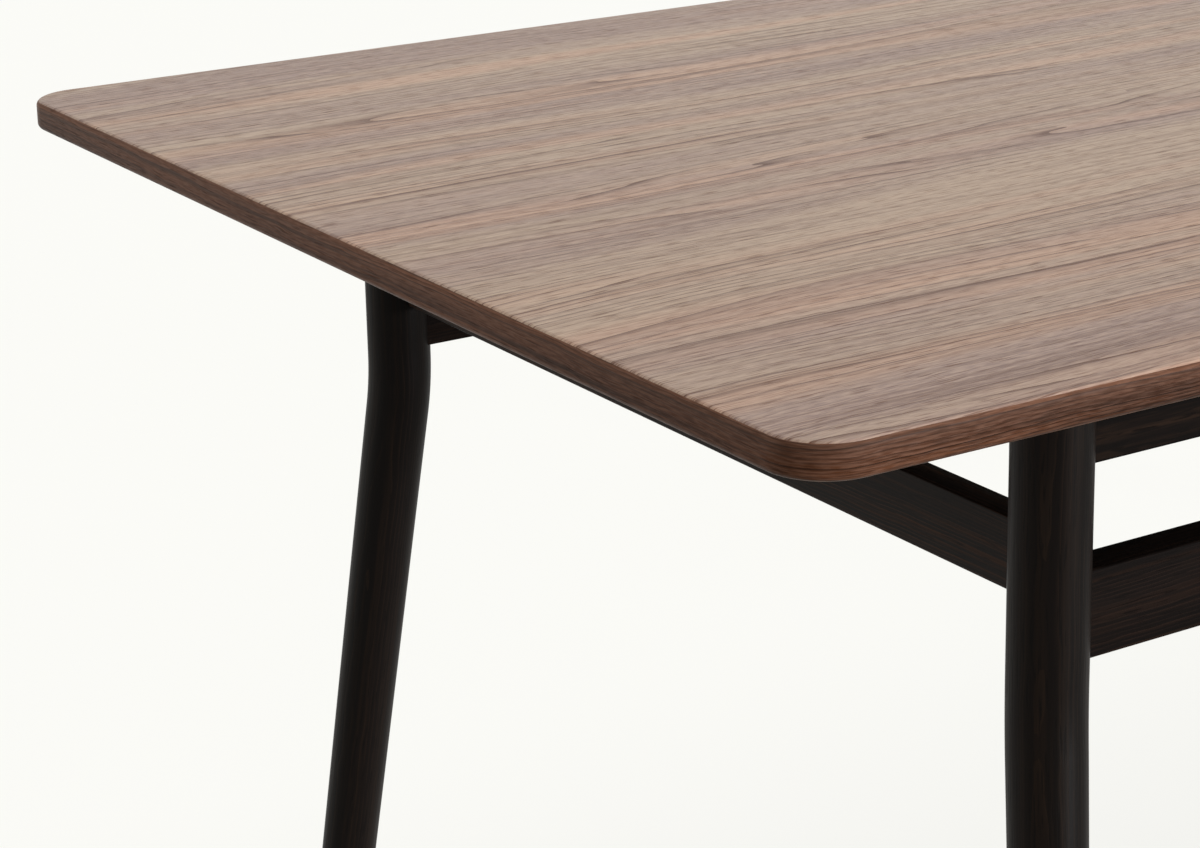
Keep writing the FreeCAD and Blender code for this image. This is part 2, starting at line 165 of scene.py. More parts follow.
class Board:
    """Shorthand for placing and wiring the nodes of one tree."""

    def __init__(self, tree):
        self.tree = tree

    def put(self, kind, **settings):
        node = self.tree.nodes.new(f"ShaderNode{kind}")
        for key, value in settings.items():
            setattr(node, key, value)
        return node

    def wire(self, source, target):
        """Join an output to an input, or write a plain value into the input."""
        if isinstance(source, bpy.types.NodeSocket):
            self.tree.links.new(source, target)
        else:
            target.default_value = source

    def math(self, operation, first, second=0.0, clamp=False):
        node = self.put("Math", operation=operation, use_clamp=clamp)
        self.wire(first, node.inputs[0])
        self.wire(second, node.inputs[1])
        return node.outputs[0]

    def stretched(self, vector, scale):
        """The coordinates, each multiplied by its own part of scale."""
        node = self.put("VectorMath", operation="MULTIPLY")
        self.wire(vector, node.inputs[0])
        self.wire(scale, node.inputs[1])
        return node.outputs[0]

    def noise(self, vector, scale, detail=2.0):
        """Noise with about scale features in a metre along each axis."""
        node = self.put("TexNoise")
        self.wire(self.stretched(vector, scale), node.inputs["Vector"])
        node.inputs["Scale"].default_value = 1.0
        node.inputs["Detail"].default_value = detail
        return node.outputs["Fac"]

    def range(self, value, low, high, to_low=0.0, to_high=1.0):
        """Value between low and high becomes to_low to to_high, smoothly."""
        node = self.put("MapRange", interpolation_type="SMOOTHSTEP")
        for place, number in enumerate((value, low, high, to_low, to_high)):
            self.wire(number, node.inputs[place])
        return node.outputs[0]

    def mix(self, factor, first, second):
        """The first colour, turning into the second as the factor goes from 0 to 1."""
        node = self.put("Mix", data_type="RGBA")
        self.wire(factor, node.inputs["Factor"])
        for label, value in (("A", first), ("B", second)):
            socket = next(s for s in node.inputs if s.name == label and s.type == "RGBA")
            self.wire(value, socket)
        return next(s for s in node.outputs if s.type == "RGBA")


def srgb(red, green, blue):
    """A colour given as 0 to 255, made linear: each channel's straight part, or its curve."""
    parts = np.array([red, green, blue]) / 255
    linear = np.where(parts <= 0.04045, parts / 12.92, ((parts + 0.055) / 1.055) ** 2.4)
    return (*linear.tolist(), 1.0)


# %% The wood figure group
SHIVER_REACH = 0.0030  # how far a fibre's quick waves go sideways, in metres
WANDER_GAIN = 4.0
THICKNESS_SHARE = 0.6  # how much a step through the plank counts, against one across it
RING_NOISE = 5.0  # how many rings the slow noise can add
SOFT_POWER, SOFT_SHARE = 5.0, 0.35
SHARP_POWER, SHARP_SHARE = 24.0, 0.65
THIN_PER_RING = 4.3
THIN_NOISE = 3.0
THIN_POWER, THIN_SHARE = 7.0, 1.3
MASKS = (
    # label, features in a metre, detail, and the noise that becomes 0 and 1
    ("Band", (0.7, 15.0, 15.0), 2.5, 0.38, 0.62),
    ("Warmth", (0.9, 24.0, 9.0), 2.0, 0.45, 0.66),
    ("Streak", (3.0, 260.0, 160.0), 3.0, 0.46, 0.70),
    ("Ripple", (90.0, 800.0, 500.0), 2.0, 0.35, 0.65),
    ("Pore", (45.0, 900.0, 600.0), 1.5, 0.54, 0.68))


def build_figure_group():
    """Masks of a sliced plank whose fibres run along X.

    The fibres drift sideways with slow noise. Growth rings are counted across the plank, in
    rings per metre plus more slow noise, and the fraction of that count climbs from 0 to 1 and
    drops back. A high power of it is a line that darkens slowly and ends sharply, as late
    wood does. A quicker count adds thin lines between the rings, in bundles and broken up. The
    other masks are noise, stretched along the fibres by different amounts.
    """
    group, given, result = new_group(
        "wood_figure",
        [("Vector", "NodeSocketVector", None), ("Wander", "NodeSocketFloat", 0.012),
         ("Rings", "NodeSocketFloat", 30.0)],
        [(label, "NodeSocketFloat") for label in
         ("Band", "Warmth", "Ring", "Streak", "Ripple", "Pore")])
    board = Board(group)
    place = given.outputs["Vector"]

    def times(first, second, clamp=False):
        return board.math("MULTIPLY", first, second, clamp)

    def plus(first, second, clamp=False):
        return board.math("ADD", first, second, clamp)

    drift = board.noise(place, (1.5, 3.0, 3.0), detail=1.5)
    slow = times(board.math("SUBTRACT", drift, 0.5), given.outputs["Wander"])
    shiver = board.noise(place, (18.0, 40.0, 40.0))
    quick = times(board.math("SUBTRACT", shiver, 0.5), SHIVER_REACH)
    sideways = board.put("CombineXYZ")
    board.wire(plus(times(slow, WANDER_GAIN), quick), sideways.inputs["Y"])
    moved = board.put("VectorMath", operation="ADD")
    board.wire(place, moved.inputs[0])
    board.wire(sideways.outputs[0], moved.inputs[1])
    fibre = moved.outputs[0]

    parts = board.put("SeparateXYZ")
    board.wire(fibre, parts.inputs[0])
    across = plus(parts.outputs["Y"], times(parts.outputs["Z"], THICKNESS_SHARE))
    spacing = board.noise(fibre, (0.45, 7.0, 7.0))
    count = plus(times(across, given.outputs["Rings"]), times(spacing, RING_NOISE))
    part = board.math("FRACT", count)
    soft = times(board.math("POWER", part, SOFT_POWER), SOFT_SHARE)
    ring = plus(soft, times(board.math("POWER", part, SHARP_POWER), SHARP_SHARE))
    loud = board.noise(fibre, (0.9, 24.0, 24.0))
    ring = times(ring, board.range(loud, 0.40, 0.62))

    jitter = board.noise(fibre, (1.3, 30.0, 30.0))
    thin_count = plus(times(count, THIN_PER_RING), times(jitter, THIN_NOISE))
    thin = board.math("POWER", board.math("FRACT", thin_count), THIN_POWER)
    bundle = board.noise(fibre, (1.1, 20.0, 20.0), detail=1.5)
    broken = board.noise(fibre, (6.0, 110.0, 110.0))
    thin = times(thin, board.range(bundle, 0.36, 0.52))
    thin = times(thin, board.range(broken, 0.30, 0.52))
    board.wire(plus(ring, times(thin, THIN_SHARE), clamp=True), result.inputs["Ring"])

    for label, scale, detail, low, high in MASKS:
        value = board.noise(fibre, scale, detail)
        board.wire(board.range(value, low, high), result.inputs[label])
    return group


figure_group = build_figure_group()
print("wood figure group:", len(figure_group.nodes), "nodes")

# %% [markdown]
# ## The walnut
#
# The face of the top is a pale grey-brown veneer with a satin lacquer. Its colour starts from
# one brown, turns grey in some bands and warm in others, is lightened by fine ripples, and is
# darkened by the streaks, the rings and the pores. Some of the pale look at a low angle is not
# colour at all: the lacquer mirrors the bright room softly, which the Principled shader works
# out by itself.
#
# The lippings are solid walnut, darker and redder, and their figure follows the edge round the
# corners.

# %% Walnut materials
SHEEN_DEPTH = 0.014
PORE_ROUGHER = 0.12


def new_material(name):
    """A material with an empty node tree, its Principled shader and its shorthand."""
    material = bpy.data.materials.new(name)
    material.use_nodes = True
    board = Board(material.node_tree)
    shader = material.node_tree.nodes["Principled BSDF"]
    return material, board, shader


def bump(board, shader, height, strength, distance):
    """Relief from a height mask, at most distance deep in metres."""
    node = board.put("Bump")
    node.inputs["Strength"].default_value = strength
    node.inputs["Distance"].default_value = distance
    board.wire(height, node.inputs["Height"])
    board.wire(node.outputs["Normal"], shader.inputs["Normal"])


def grain_place(board):
    """Where a point lies in its plank, from the attribute that the pieces carry."""
    return board.put("Attribute", attribute_name="grain").outputs["Vector"]


def room_place(board, turn):
    """Where a point lies in the room, turned about Z so that the grain runs along X."""
    mapping = board.put("Mapping")
    mapping.inputs["Rotation"].default_value = (0.0, 0.0, turn)
    board.wire(board.put("TexCoord").outputs["Object"], mapping.inputs["Vector"])
    return mapping.outputs["Vector"]


def figure(board, place, wander, rings):
    """The wood figure group in a material, set for one kind of plank."""
    node = board.put("Group", node_tree=figure_group)
    board.wire(place, node.inputs["Vector"])
    node.inputs["Wander"].default_value = wander
    node.inputs["Rings"].default_value = rings
    return node.outputs


def relief(board, masks, pore_depth, ring_depth):
    """A height mask: pores and rings lie below the surface by their own shares."""
    return board.math("ADD", board.math("MULTIPLY", masks["Pore"], -pore_depth),
                      board.math("MULTIPLY", masks["Ring"], -ring_depth))


def walnut(name, tones, strengths, roughness, gloss, wander, rings, painted_sheen=0.0):
    """Lacquered walnut, coloured with named tones. strengths weigh the masks.

    painted_sheen is how far the colour turns pale towards the upper arris: a painted sheen that
    stands in for the light that the rounded arris catches.
    """
    material, board, shader = new_material(name)
    masks = figure(board, grain_place(board), wander, rings)
    tone = {label: srgb(*parts) for label, parts in tones.items()}
    colour = board.mix(masks["Band"], tone["light"], tone["grey"])
    for label, turned in (("Warmth", "warm"), ("Ripple", "pale"), ("Streak", "dark"),
                          ("Ring", "dark"), ("Pore", "dark")):
        share = board.math("MULTIPLY", masks[label], strengths[label])
        colour = board.mix(share, colour, tone[turned])
    # Painted sheen: the colour turns paler up the edge towards the arris, where light catches it.
    if painted_sheen:
        place = board.put("SeparateXYZ")
        board.wire(room_place(board, 0.0), place.inputs[0])
        share = board.range(place.outputs["Z"], TOP_LEVEL - SHEEN_DEPTH, TOP_LEVEL, 0.0, painted_sheen)
        colour = board.mix(share, colour, tone["pale"])
    board.wire(colour, shader.inputs["Base Color"])
    rough = board.range(masks["Pore"], 0.0, 1.0, roughness, roughness + PORE_ROUGHER)
    board.wire(rough, shader.inputs["Roughness"])
    shader.inputs["Specular IOR Level"].default_value = gloss
    height = relief(board, masks, pore_depth=0.6, ring_depth=0.4)
    bump(board, shader, height, strength=0.6, distance=0.0004)
    return material


walnut_face = walnut(
    "walnut_face",
    {"light": (158, 136, 117), "grey": (133, 110, 102), "warm": (176, 138, 114),
     "dark": (80, 43, 22), "pale": (198, 172, 150)},
    {"Warmth": 0.70, "Ripple": 0.35, "Streak": 0.40, "Ring": 0.95, "Pore": 0.55},
    roughness=0.34, gloss=0.12, wander=0.012, rings=26.0)
# The lippings' upper part is paled by a painted sheen towards the arris.
walnut_edge = walnut(
    "walnut_edge",
    {"light": (121, 77, 52), "grey": (64, 37, 23), "warm": (138, 88, 59),
     "dark": (20, 8, 3), "pale": (156, 120, 102)},
    {"Warmth": 0.6, "Ripple": 0.20, "Streak": 0.60, "Ring": 0.85, "Pore": 0.45},
    roughness=0.40, gloss=0.05, wander=0.003, rings=110.0, painted_sheen=0.12)
walnut_back = walnut(
    "walnut_back",
    {"light": (132, 104, 82), "grey": (112, 88, 70), "warm": (146, 108, 82),
     "dark": (66, 48, 38), "pale": (158, 132, 112)},
    {"Warmth": 0.5, "Ripple": 0.25, "Streak": 0.30, "Ring": 0.50, "Pore": 0.45},
    roughness=0.55, gloss=0.12, wander=0.012, rings=22.0)
print("walnut materials: face, edge and back")

# %% [markdown]
# ## The stained wood
#
# The legs and rails are an open-grained wood, stained almost black. What is left of its figure
# is a trace of brown between the pores, and the pores break up what light the wood mirrors. The
# legs and the end bars are worked smoother than the long bars, so they are a little glossier.
# More of the brown shows through the stain on the flat wood than on the round legs. The end
# bars get a lighter brown still: painted light, for the light that falls on their outer faces.

# %% Stained wood materials
STAIN = srgb(18, 13, 11)
STAIN_DEEP = srgb(10, 7, 6)
STAIN_BROWN = srgb(33, 24, 18)
STAIN_WANDER = 0.006
STAIN_RINGS = 90.0
STREAK_ROUGHER = 0.1


def stained(name, place_of, roughness, gloss, brown=STAIN_BROWN):
    """Black-brown stained open-grain wood. place_of gives the grain's coordinates.

    brown is what shows through the stain along the rings and streaks.
    """
    material, board, shader = new_material(name)
    masks = figure(board, place_of(board), STAIN_WANDER, STAIN_RINGS)
    colour = board.mix(masks["Band"], STAIN, STAIN_DEEP)
    for label, strength, tone in (("Ring", 0.6, brown), ("Streak", 0.35, brown),
                                  ("Pore", 0.8, STAIN_DEEP)):
        colour = board.mix(board.math("MULTIPLY", masks[label], strength), colour, tone)
    board.wire(colour, shader.inputs["Base Color"])
    rough = board.range(masks["Streak"], 0.0, 1.0, roughness, roughness + STREAK_ROUGHER)
    board.wire(rough, shader.inputs["Roughness"])
    shader.inputs["Specular IOR Level"].default_value = gloss
    height = relief(board, masks, pore_depth=0.8, ring_depth=0.5)
    bump(board, shader, height, strength=0.12, distance=0.0005)
    return material


def along_x(board):
    return room_place(board, 0.0)


def along_y(board):
    return room_place(board, math.pi / 2)


SMOOTHED = {"roughness": 0.42, "gloss": 0.05}
PLANED = {"roughness": 0.62, "gloss": 0.025}
stained_round = stained("stained_round", grain_place, **SMOOTHED)
# The end bars' lighter brown is painted light on their outer faces.
stained_end_painted_light = stained("stained_end_painted_light", grain_place, **SMOOTHED, brown=srgb(72, 50, 38))
stained_bar = stained("stained_bar", grain_place, **PLANED, brown=srgb(42, 30, 24))
stained_apron = stained("stained_apron", along_x, **PLANED, brown=srgb(62, 46, 36))
stained_bearer = stained("stained_bearer", along_y, **PLANED)
print("stained materials: legs, end bars, long bars, aprons and bearers")

# %% [markdown]
# ## The small materials
#
# The core board never shows, but it still gets a chipboard look. The screws are zinc plated
# steel, seen only from below, and the glides are moulded plastic.

# %% Core, zinc and plastic
def build_core_material():
    """Chipboard: pale flakes of random tone, from a cell texture stretched flat."""
    material, board, shader = new_material("core_chipboard")
    cells = board.put("TexVoronoi")
    board.wire(board.stretched(room_place(board, 0.0), (220.0, 340.0, 700.0)),
               cells.inputs["Vector"])
    tone = board.put("SeparateColor")
    board.wire(cells.outputs["Color"], tone.inputs[0])
    colour = board.mix(tone.outputs[0], srgb(176, 140, 98), srgb(214, 184, 142))
    board.wire(colour, shader.inputs["Base Color"])
    board.wire(board.range(tone.outputs[1], 0.0, 1.0, 0.7, 0.9), shader.inputs["Roughness"])
    bump(board, shader, tone.outputs[0], 0.3, 0.0004)
    return material


def build_zinc_material():
    """Zinc plating: a bright metal whose roughness and tint vary in soft patches."""
    material, board, shader = new_material("screw_zinc")
    patches = board.noise(room_place(board, 0.0), (400.0,) * 3, detail=3.0)
    colour = board.mix(patches, srgb(196, 196, 190), srgb(168, 172, 176))
    board.wire(colour, shader.inputs["Base Color"])
    shader.inputs["Metallic"].default_value = 1.0
    board.wire(board.range(patches, 0.3, 0.7, 0.28, 0.45), shader.inputs["Roughness"])
    bump(board, shader, patches, 0.1, 0.0002)
    return material


def build_glide_material():
    """Moulded plastic: black, with a fine grained skin that scuffs paler where it rubs."""
    material, board, shader = new_material("glide_plastic")
    place = room_place(board, 0.0)
    skin = board.noise(place, (1800.0,) * 3)
    scuffs = board.range(board.noise(place, (90.0, 420.0, 90.0), detail=3.0), 0.55, 0.75)
    colour = board.mix(board.math("MULTIPLY", scuffs, 0.5), srgb(30, 30, 31),
                       srgb(66, 65, 64))
    board.wire(colour, shader.inputs["Base Color"])
    board.wire(board.range(scuffs, 0.0, 1.0, 0.45, 0.7), shader.inputs["Roughness"])
    bump(board, shader, skin, 0.2, 0.0001)
    return material


core_chipboard = build_core_material()
screw_zinc = build_zinc_material()
glide_plastic = build_glide_material()
print("small materials: core, zinc and plastic")

# %% [markdown]
# ## The outline of the top
#
# The top is a rectangle with round corners, and all of its sheets and lippings follow that
# outline. So it is worked out once, as points with the way outwards at each. The corners are
# where the eye lands, so they get the most points. Straight stretches need few, because a
# straight line is a straight line however it is cut.

# %% Outline
CORNER_STEPS = 32
STRAIGHT_STEPS = 24


def rounded_outline():
    """Points round the top from the middle of the right back corner, anticlockwise.

    Each corner is a quarter circle: centre plus radius times (cos t, sin t). Between two
    corners the points are spread evenly along the straight. Returns the points, the unit
    vectors outwards, and the distance run so far at each point.
    """
    centres = np.array([[1, 1], [-1, 1], [-1, -1], [1, -1]]) * np.array(
        [HALF_LENGTH - CORNER_RADIUS, HALF_WIDTH - CORNER_RADIUS])
    points, outwards = [], []
    for corner, centre in enumerate(centres):
        start = math.radians(90 * corner)
        turn = start + np.linspace(0, math.pi / 2, CORNER_STEPS + 1)
        direction = np.stack([np.cos(turn), np.sin(turn)], axis=1)
        arc = centre + CORNER_RADIUS * direction
        following = centres[(corner + 1) % 4] + CORNER_RADIUS * direction[-1]
        share = np.linspace(0, 1, STRAIGHT_STEPS + 2)[1:-1, None]
        points += [arc, arc[-1] * (1 - share) + following * share]
        outwards += [direction, np.repeat(direction[-1:], STRAIGHT_STEPS, axis=0)]
    points, outwards = np.concatenate(points), np.concatenate(outwards)
    points = np.roll(points, -CORNER_STEPS // 2, axis=0)
    outwards = np.roll(outwards, -CORNER_STEPS // 2, axis=0)
    steps = np.linalg.norm(np.roll(points, -1, axis=0) - points, axis=1)
    run = np.concatenate([[0.0], np.cumsum(steps)[:-1]])
    return points, outwards, run, steps.sum()


outline, outward, outline_run, outline_length = rounded_outline()
SIDE_STEPS = len(outline) // 4
print("outline:", len(outline), "points,", round(outline_length, 3), "m round")

# %% [markdown]
# ## The veneers
#
# The face veneer is a sheet 0.8 mm thick that runs out over the lippings, and its rim carries
# the upper part of the rounded arris. It is made as rings: each ring is the outline moved in
# by some inset, at some level. Rings follow the arris as a quarter circle, and one more ring
# just inside it keeps the big flat face flat in shading. The back veneer is the same sheet
# upside down. Veneer is seldom laid dead straight, so its grain runs a few degrees off the edge.

# %% Veneer sheets
ARRIS_STEPS = 8
KEEP_FLAT = 0.0006
GRAIN_TURN = math.radians(2.5)


def arris_arc(from_level, to_level, middle_level, steps):
    """Inset and level along a stretch of a rounded arris.

    A point on the arris lies at middle_level plus radius times sin t, and its inset from the
    edge is radius times (1 - cos t). The stretch runs between two levels, evenly in t.
    """
    turns = [math.asin(np.clip((level - middle_level) / ARRIS_RADIUS, -1, 1))
             for level in (from_level, to_level)]
    turn = np.linspace(*turns, steps + 1)
    return np.stack([ARRIS_RADIUS * (1 - np.cos(turn)),
                     middle_level + ARRIS_RADIUS * np.sin(turn)], axis=1)


def plank_of_sheet(grid):
    """The grain of a sheet: the place, turned back by the small angle at which it was laid."""
    cosine, sine = math.cos(GRAIN_TURN), math.sin(GRAIN_TURN)
    return grid @ np.array([[cosine, -sine, 0.0], [sine, cosine, 0.0], [0.0, 0.0, 0.0]])


def ringed_sheet(name, insets_levels):
    """A sheet made of rings, each the outline moved in by an inset and set at a level."""
    rings = [np.column_stack([outline - inset * outward, np.full(len(outline), level)])
             for inset, level in insets_levels]
    grid = np.stack(rings)
    return closed_mesh(name, grid, plank_of_sheet(grid))


upper = arris_arc(FACE_LOW, TOP_LEVEL, TOP_LEVEL - ARRIS_RADIUS, ARRIS_STEPS)
face_rings = np.vstack([[upper[0, 0] + KEEP_FLAT, FACE_LOW], upper,
                        [ARRIS_RADIUS + KEEP_FLAT, TOP_LEVEL]])
settle(ringed_sheet("top_face_sheet", face_rings),
       "top_face_veneer", walnut_face)

lower = arris_arc(UNDERSIDE, BACK_HIGH, UNDERSIDE + ARRIS_RADIUS, ARRIS_STEPS)
back_rings = np.vstack([[ARRIS_RADIUS + KEEP_FLAT, UNDERSIDE], lower,
                        [lower[-1, 0] + KEEP_FLAT, BACK_HIGH]])
settle(ringed_sheet("top_back_sheet", back_rings),
       "top_back_veneer", walnut_back)

# %% [markdown]
# ## The edge lippings
#
# A lipping is a solid strip glued round the core, mitred through the middle of each corner and
# shaped with the arrises. Each is a closed section carried along its quarter of the outline:
# the outer side follows the rounded edge, and the inner side runs straight along the core.
# Its grain attribute counts the distance along the edge, so the figure runs round the corners
# without a break, as it does where strips are cut one after another from the same board.

# %% Lipping pieces
INNER_GRAIN = (0.018, 0.036)  # how far round the section the inner columns lie, past the outer
LIPPING_PLANK = 0.35  # where the lippings lie in the thickness of their plank


def lipping(name, side):
    """One mitred strip: rows along a quarter of the outline, columns round the section.

    The outer columns lie on the lower arris, the upright face and the upper arris. The two
    inner columns lie on the core's edge, where the mitre's end meets the core's corner: their
    distance along the side is the outer one's, scaled to the core's own length.
    """
    chosen = np.arange(side * SIDE_STEPS, (side + 1) * SIDE_STEPS + 1) % len(outline)
    path, away = outline[chosen], outward[chosen]
    run = outline_run[chosen] + outline_length * (chosen < chosen[0])
    lower_arc = arris_arc(BACK_HIGH, UNDERSIDE + ARRIS_RADIUS, UNDERSIDE + ARRIS_RADIUS,
                          ARRIS_STEPS)
    upper_arc = arris_arc(TOP_LEVEL - ARRIS_RADIUS, FACE_LOW, TOP_LEVEL - ARRIS_RADIUS,
                          ARRIS_STEPS)
    upright = [[0.0, lower_arc[-1, 1] + KEEP_FLAT], [0.0, upper_arc[0, 1] - KEEP_FLAT]]
    section = np.vstack([lower_arc, upright, upper_arc])
    flat = path[:, None, :] - section[None, :, :1] * away[:, None, :]
    level = np.broadcast_to(section[None, :, 1:], (*flat.shape[:2], 1))
    outer = np.concatenate([flat, level], axis=2)
    middle = [(0, 1), (-1, 0), (0, -1), (1, 0)][side]
    along = 1 if middle[0] else 0
    core = np.array([CORE_X, CORE_Y])
    reach = np.abs(path[:, along]).max()
    inner = np.empty_like(path)
    inner[:, along] = path[:, along] / reach * core[along]
    inner[:, 1 - along] = middle[1 - along] * core[1 - along]
    inner_high = np.column_stack([inner, np.full(len(inner), FACE_LOW)])
    inner_low = np.column_stack([inner, np.full(len(inner), BACK_HIGH)])
    grid = np.concatenate([outer, inner_high[:, None], inner_low[:, None]], axis=1)
    width = np.linalg.norm(np.diff(section, axis=0), axis=1)
    across = np.concatenate([[0.0], np.cumsum(width)])
    across = np.concatenate([across, across[-1] + INNER_GRAIN])
    grain = np.stack(np.broadcast_arrays(run[:, None], across[None, :], LIPPING_PLANK), axis=-1)
    return closed_mesh(name, grid, grain)


for side, place in enumerate(("back", "left", "front", "right")):
    settle(lipping(f"edge_strip_{place}", side), f"edge_lipping_{place}",
           walnut_edge)

# %% [markdown]
# ## The legs
#
# A leg starts as a straight round bar. Below the rails it bends outwards along an arc, and from
# there it tapers to the foot. The path is known exactly, so the leg is worked out as rings round
# that path. The ring at the foot isn't square to the path but lies level, because the foot
# stands flat on its glide. So each line down the leg is given its own length. The leg in the frame
# has a flat behind the end of each rail. A rail covers its flat, so here the leg is left round.

# %% Leg shape
ROUND_STEPS = 64
BEND_STEPS = 20
TAPER_STEPS = 40
STRAIGHT_RINGS = 6
LEG_PLANK = np.array([2.0, 0.7, 1.3])  # how far apart in the plank the legs were cut
SPLAY = math.atan(math.hypot(math.tan(SPLAY_ALONG), math.tan(SPLAY_ACROSS)))
BEND_TOP = KNEE_LEVEL + BEND_RADIUS * math.tan(SPLAY / 2)
BEND_END = BEND_TOP - BEND_RADIUS * math.sin(SPLAY)
BEND_OUT = BEND_RADIUS * (1 - math.cos(SPLAY))
FOOT_REACH = BEND_END / math.cos(SPLAY)


def lean_of(side_x, side_y):
    """The way a leg leans, as an angle round Z: each splay's tangent is a step outwards."""
    return math.atan2(side_y * math.tan(SPLAY_ACROSS), side_x * math.tan(SPLAY_ALONG))


def leg(name, side_x, side_y):
    """A bent and tapered leg as rows of rings, from the foot up to the top.

    On the straight part a ring lies level. In the bend the ring at turn t is centred at
    radius times (1 - cos t) outwards and radius times sin t down, and is tilted by t. On the
    taper the radius falls evenly along the axis, and each line runs on until it reaches the
    level of the foot.
    """
    lean = lean_of(side_x, side_y)
    angle = np.arange(ROUND_STEPS) * 2 * math.pi / ROUND_STEPS
    out = np.array([math.cos(lean), math.sin(lean), 0.0])
    sideways = np.array([-math.sin(lean), math.cos(lean), 0.0])
    up = np.array([0.0, 0.0, 1.0])
    base = np.array([side_x * LEG_X, side_y * LEG_Y, 0.0])

    def spokes(tilt):
        """Unit vectors from the path to the skin, in a ring tilted about its sideways line."""
        leaning_out = math.cos(tilt) * out + math.sin(tilt) * up
        return (np.cos(angle - lean)[:, None] * leaning_out
                + np.sin(angle - lean)[:, None] * sideways)

    axis_end = base + BEND_OUT * out + BEND_END * up
    down = math.sin(SPLAY) * out - math.cos(SPLAY) * up
    spoke = spokes(SPLAY)
    narrowing = (LEG_RADIUS - FOOT_RADIUS) / FOOT_REACH

    def reach_to(level):
        """How far along the taper each line has to run to come down to a level."""
        fall = down[2] - narrowing * spoke[:, 2]
        return (level - axis_end[2] - LEG_RADIUS * spoke[:, 2]) / fall

    def taper_ring(reach):
        radius = LEG_RADIUS - narrowing * reach
        return axis_end + reach[:, None] * down + radius[:, None] * spoke

    bend_run = BEND_RADIUS * SPLAY
    sole_reach = reach_to(FOOT_LEVEL)
    foot_reach = reach_to(FOOT_LEVEL + FOOT_CHAMFER)
    sole = taper_ring(sole_reach)
    sole = sole + (sole.mean(axis=0) - sole) * FOOT_CHAMFER / FOOT_RADIUS
    rings = [sole, taper_ring(foot_reach)]
    runs = [bend_run + sole_reach] * 2
    for share in np.linspace(1, 0, TAPER_STEPS + 1)[1:]:
        reach = share * foot_reach
        rings.append(taper_ring(reach))
        runs.append(bend_run + reach)
    for turn in np.linspace(SPLAY, 0, BEND_STEPS + 1)[1:]:
        middle = base + BEND_RADIUS * (1 - math.cos(turn)) * out
        middle = middle + (BEND_TOP - BEND_RADIUS * math.sin(turn)) * up
        rings.append(middle + LEG_RADIUS * spokes(turn))
        runs.append(np.full(len(angle), BEND_RADIUS * turn))
    for level in np.linspace(BEND_TOP, UNDERSIDE, STRAIGHT_RINGS + 1)[1:]:
        rings.append(base + level * up + LEG_RADIUS * spokes(0.0))
        runs.append(np.full(len(angle), BEND_TOP - level))
    run = np.stack(runs)
    across = LEG_RADIUS * np.stack([np.cos(angle), np.sin(angle)], axis=1)
    grain = np.concatenate([run[..., None], np.broadcast_to(across, (*run.shape, 2))], axis=2)
    grain = grain + LEG_PLANK * np.array([side_x, side_y, side_x])
    return closed_mesh(name, np.stack(rings), grain, crease=30)


LEG_PLACES = [(f"{end}_{edge_side}", side_x, side_y)
              for end, side_x in (("left", -1), ("right", 1))
              for edge_side, side_y in (("front", -1), ("back", 1))]
for place, side_x, side_y in LEG_PLACES:
    settle(leg(f"bent_leg_{place}", side_x, side_y), f"leg_{place}",
           stained_round)

# %% [markdown]
# ## The rails
#
# A rail is a straight bar with its four long edges softened. Its section, a rectangle with
# small round corners, is carried along a straight path from leg to leg. The end of a rail meets
# a round leg, so it runs in until the side that lies furthest from the leg's middle has reached
# the round: by Pythagoras, the root of radius squared less that distance squared. The tenons
# are hidden in the legs, so they are left out.

# %% Rail shape
RAIL_ARRIS = 0.0015
RAIL_ARRIS_STEPS = 5
RAIL_RINGS = 12
RAIL_PLANK = 3.1  # how far apart in the plank the rails were cut


def soft_rectangle(half_width, half_height, radius, steps):
    """A rectangle with round corners, anticlockwise: corner centre plus radius (cos, sin)."""
    points = []
    for corner, signs in enumerate(((1, 1), (-1, 1), (-1, -1), (1, -1))):
        turn = math.pi / 2 * corner + np.linspace(0, math.pi / 2, steps + 1)
        centre = signs * np.array([half_width - radius, half_height - radius])
        points.append(centre + radius * np.stack([np.cos(turn), np.sin(turn)], axis=1))
    return np.concatenate(points)


def rail(name, node, along, seed):
    """A bar whose section fills the node's box, and whose ends run into the round legs.

    along is the axis that the rail runs along, and seed is where in the plank it was cut. A
    section that is carried along Y is turned over, because otherwise its faces would look
    inwards.
    """
    low, high = (np.array(corner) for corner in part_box(node))
    across = 1 - along
    middle, half = (low + high) / 2, (high - low) / 2
    leg_middle = np.array([LEG_X, LEG_Y]) * np.sign(middle[:2])
    furthest = np.abs(np.array([low[across], high[across]]) - leg_middle[across]).max()
    shoulder = (LEG_X, LEG_Y)[along] - math.sqrt(LEG_RADIUS ** 2 - furthest ** 2)
    print(f"{name}: furthest side {furthest * 1000:.1f} mm off the leg's middle")
    section = soft_rectangle(half[across], half[2], RAIL_ARRIS, RAIL_ARRIS_STEPS)
    if along == 1:
        section = section[::-1]
    stations = np.linspace(-shoulder, shoulder, RAIL_RINGS)
    grid = np.empty((len(stations), len(section), 3))
    grid[..., along] = stations[:, None]
    grid[..., across] = middle[across] + section[:, 0]
    grid[..., 2] = middle[2] + section[:, 1]
    grain = np.stack([grid[..., along], grid[..., 2], grid[..., across]], axis=-1) + seed
    return closed_mesh(name, grid, grain, crease=60)


for seed, (name, node, along, material) in enumerate((
        ("lower_bar_front", "lower_rail_front", 0, stained_bar),
        ("lower_bar_back", "lower_rail_back", 0, stained_bar),
        ("end_bar_left", "end_rail_left", 1, stained_end_painted_light),
        ("end_bar_right", "end_rail_right", 1, stained_end_painted_light))):
    settle(rail(name, node, along, RAIL_PLANK * seed), node, material)

